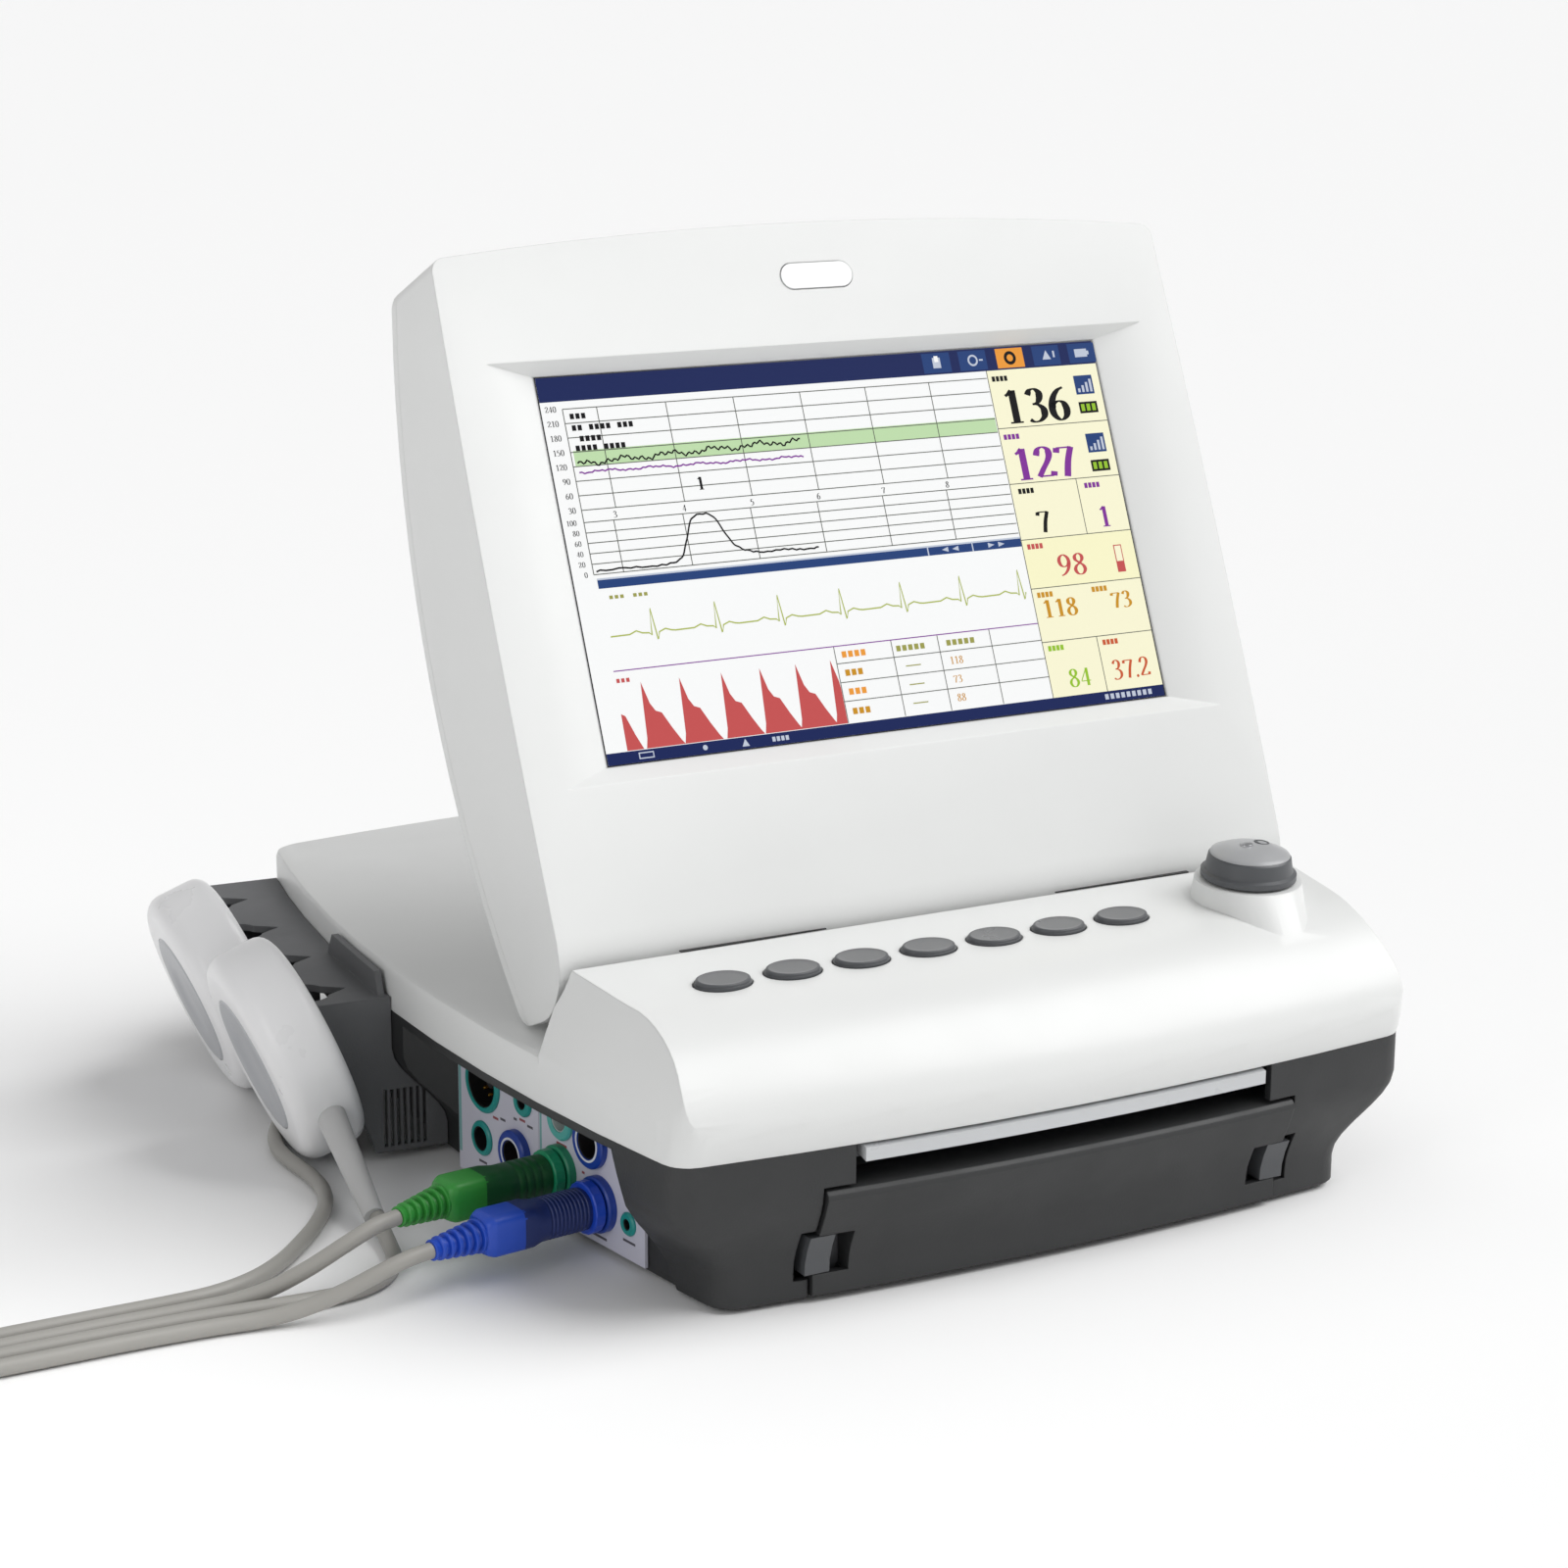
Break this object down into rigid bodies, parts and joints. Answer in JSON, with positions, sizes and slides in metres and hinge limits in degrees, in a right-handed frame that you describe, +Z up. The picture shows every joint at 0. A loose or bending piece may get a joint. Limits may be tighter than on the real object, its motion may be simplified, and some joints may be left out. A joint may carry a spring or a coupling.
{
  "type": "cardiotocograph",
  "caption": "Desk-top fetal monitor with a folding colour screen, key console and push knob, strip recorder drawer, connector bay, and two transducers on a side rack.",
  "frame": {"origin": "on the table plane under the middle of the monitor with its side rack, leads left out", "axes": "+Z up, the front with the recorder drawer faces -Y, +X to the right as seen from the front"},
  "size_m": [0.6233, 0.3765, 0.3216],
  "materials": {
    "cover_white": "moulded plastic, semi-gloss",
    "base_grey": "moulded plastic, fine matt grain",
    "rack_grey": "moulded plastic, fine matt grain",
    "control_grey": "moulded plastic, smooth matt",
    "foot_rubber": "soft rubber",
    "steel_plain": "plain steel",
    "steel_dark": "blackened steel",
    "panel_pale": "printed plastic sheet, matt",
    "socket_teal": "moulded plastic",
    "socket_pale_teal": "moulded plastic",
    "socket_blue": "moulded plastic",
    "socket_green": "moulded plastic",
    "plug_green_body": "moulded soft plastic",
    "plug_blue_body": "moulded soft plastic",
    "lead_jacket": "soft cable jacket",
    "transducer_white": "moulded plastic, semi-gloss",
    "transducer_face": "moulded plastic",
    "boot_grey": "soft moulded boot",
    "display_glass": "glossy display window",
    "lens_clear": "frosted lens",
    "lcd_grey": "sheet-metal can",
    "board_green": "circuit board",
    "tray_grey": "moulded plastic",
    "paper_pink": "folded thermal paper",
    "roller_rubber": "ground rubber",
    "print_head_dark": "anodised aluminium",
    "bar_light": "moulded plastic, smooth",
    "inlet_black": "moulded plastic",
    "supply_metal": "folded sheet",
    "speaker_dark": "speaker basket and magnet"
  },
  "bodies": {
    "cabinet": {"base_tub": "base_grey", "top_cover": "cover_white", "rubber_feet": "foot_rubber", "case_screws": "steel_plain", "connector_panel_rear": "panel_pale", "connector_panel_front": "panel_pale", "ecg_socket": "socket_teal", "spo2_socket": "socket_teal", "small_jacks": "socket_teal", "domed_socket": "socket_blue", "pressure_port": "socket_pale_teal", "ring_socket": "socket_blue", "green_socket": "socket_green", "blue_socket": "socket_blue", "plug_green": "plug_green_body", "plug_blue": "plug_blue_body", "lead_green_run": "lead_jacket", "lead_green_coil": "lead_jacket", "lead_green_tail": "lead_jacket", "lead_blue_run": "lead_jacket", "lead_blue_coil": "lead_jacket", "lead_blue_tail": "lead_jacket", "transducer_rack": "rack_grey", "hinge_brackets": "steel_plain", "hinge_pins": "steel_dark", "key_board": "board_green", "print_head": "print_head_dark", "tear_bar": "bar_light", "power_inlet": "inlet_black", "main_board": "board_green", "power_supply": "supply_metal", "loudspeaker": "speaker_dark"},
    "screen": {"screen_front_shell": "cover_white", "screen_rear_shell": "cover_white", "screen_chassis": "steel_plain", "lcd_module": "lcd_grey", "display_window": "display_glass", "alarm_lens": "lens_clear"},
    "knob_shaft_sleeve": {"encoder_sleeve": "steel_plain"},
    "knob": {"control_knob": "control_grey"},
    "paper_drawer": {"drawer_front": "base_grey", "drawer_tray": "tray_grey", "paper_pack": "paper_pink"},
    "roller": {"platen_roller": "roller_rubber"},
    "left_latch": {"latch_left": "control_grey"},
    "right_latch": {"latch_right": "control_grey"},
    "toco_transducer": {"toco_case": "transducer_white", "toco_face": "transducer_face", "toco_boot": "boot_grey"},
    "ultrasound_transducer": {"ultrasound_case": "transducer_white", "ultrasound_face": "transducer_face", "ultrasound_boot": "boot_grey"},
    "key_1": {"key_1": "control_grey"},
    "key_2": {"key_2": "control_grey"},
    "key_3": {"key_3": "control_grey"},
    "key_4": {"key_4": "control_grey"},
    "key_5": {"key_5": "control_grey"},
    "key_6": {"key_6": "control_grey"},
    "key_7": {"key_7": "control_grey"}
  },
  "joints": [
    {"name": "screen_tilt", "type": "hinge", "parent": "cabinet", "child": "screen", "pos_m": [0.0285, -0.0753, 0.0984], "axis": [1, 0, 0], "range_deg": [-56, 16]},
    {"name": "key_1_press", "type": "slide", "parent": "cabinet", "child": "key_1", "axis": [0, 0.0641, -0.9979], "range_m": [0, 0.0012], "stiffness_N_per_m": 800, "springref_m": -0.0005},
    {"name": "key_2_press", "type": "slide", "parent": "cabinet", "child": "key_2", "axis": [0, 0.0641, -0.9979], "range_m": [0, 0.0012], "stiffness_N_per_m": 800, "springref_m": -0.0005},
    {"name": "key_3_press", "type": "slide", "parent": "cabinet", "child": "key_3", "axis": [0, 0.0641, -0.9979], "range_m": [0, 0.0012], "stiffness_N_per_m": 800, "springref_m": -0.0005},
    {"name": "key_4_press", "type": "slide", "parent": "cabinet", "child": "key_4", "axis": [0, 0.0641, -0.9979], "range_m": [0, 0.0012], "stiffness_N_per_m": 800, "springref_m": -0.0005},
    {"name": "key_5_press", "type": "slide", "parent": "cabinet", "child": "key_5", "axis": [0, 0.0641, -0.9979], "range_m": [0, 0.0012], "stiffness_N_per_m": 800, "springref_m": -0.0005},
    {"name": "key_6_press", "type": "slide", "parent": "cabinet", "child": "key_6", "axis": [0, 0.0641, -0.9979], "range_m": [0, 0.0012], "stiffness_N_per_m": 800, "springref_m": -0.0005},
    {"name": "key_7_press", "type": "slide", "parent": "cabinet", "child": "key_7", "axis": [0, 0.0641, -0.9979], "range_m": [0, 0.0012], "stiffness_N_per_m": 800, "springref_m": -0.0005},
    {"name": "knob_press", "type": "slide", "parent": "cabinet", "child": "knob_shaft_sleeve", "axis": [0, 0.0641, -0.9979], "range_m": [0, 0.0006], "stiffness_N_per_m": 1500, "springref_m": -0.0004},
    {"name": "knob_turn", "type": "hinge", "parent": "knob_shaft_sleeve", "child": "knob", "pos_m": [0.1323, -0.132, 0.097], "axis": [0, -0.0641, 0.9979], "continuous": true},
    {"name": "drawer_slide", "type": "slide", "parent": "cabinet", "child": "paper_drawer", "axis": [0, -1, 0], "range_m": [0, 0.09]},
    {"name": "roller_turn", "type": "hinge", "parent": "paper_drawer", "child": "roller", "pos_m": [0.0285, -0.1585, 0.0358], "axis": [1, 0, 0], "continuous": true},
    {"name": "left_latch_press", "type": "slide", "parent": "paper_drawer", "child": "left_latch", "axis": [1, 0, 0], "range_m": [0, 0.0025], "stiffness_N_per_m": 400, "springref_m": -0.002},
    {"name": "right_latch_press", "type": "slide", "parent": "paper_drawer", "child": "right_latch", "axis": [-1, 0, 0], "range_m": [0, 0.0025], "stiffness_N_per_m": 400, "springref_m": -0.002},
    {"name": "toco_lift", "type": "slide", "parent": "cabinet", "child": "toco_transducer", "axis": [-0.3575, 0.025, 0.9336], "range_m": [0, 0.045]},
    {"name": "ultrasound_lift", "type": "slide", "parent": "cabinet", "child": "ultrasound_transducer", "axis": [-0.3575, 0.025, 0.9336], "range_m": [0, 0.045]}
  ]
}
